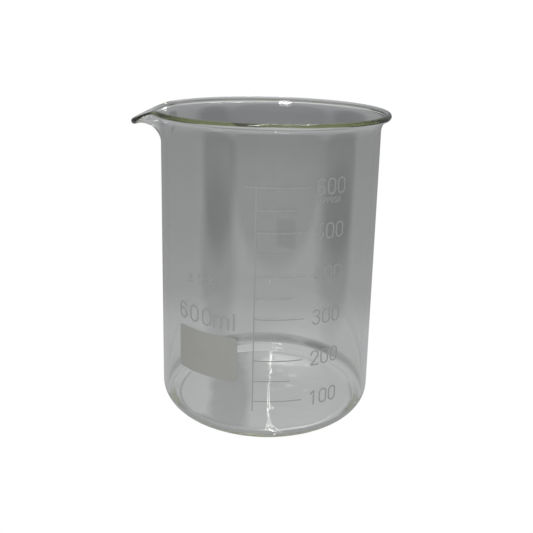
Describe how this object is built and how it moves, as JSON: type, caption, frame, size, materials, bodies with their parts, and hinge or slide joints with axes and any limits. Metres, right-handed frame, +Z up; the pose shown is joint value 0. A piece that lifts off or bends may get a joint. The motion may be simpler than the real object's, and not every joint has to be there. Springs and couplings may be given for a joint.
{
  "type": "beaker",
  "caption": "Low-form laboratory beaker in clear glass with a flared rim, a pour spout, a printed volume scale and a marking patch.",
  "frame": {"origin": "on the beaker's axis, on the flat underside of the base", "axes": "+Z up along the axis, the pour spout points along -X, and the printed scale faces -Y"},
  "size_m": [0.1065, 0.0978, 0.127],
  "materials": {
    "borosilicate_glass": "polished",
    "scale_enamel": "satin",
    "marking_enamel": "matte"
  },
  "bodies": {
    "root": {"glass_body": "borosilicate_glass", "scale_stem": "scale_enamel", "mark_1": "scale_enamel", "mark_2": "scale_enamel", "mark_3": "scale_enamel", "mark_4": "scale_enamel", "mark_5": "scale_enamel", "mark_6": "scale_enamel", "mark_7": "scale_enamel", "mark_8": "scale_enamel", "mark_9": "scale_enamel", "mark_10": "scale_enamel", "mark_11": "scale_enamel", "numeral_1": "scale_enamel", "numeral_2": "scale_enamel", "numeral_3": "scale_enamel", "numeral_4": "scale_enamel", "numeral_5": "scale_enamel", "numeral_6": "scale_enamel", "accuracy_note": "scale_enamel", "capacity_figures": "scale_enamel", "tolerance_figures": "scale_enamel", "marking_patch": "marking_enamel"}
  },
  "joints": []
}
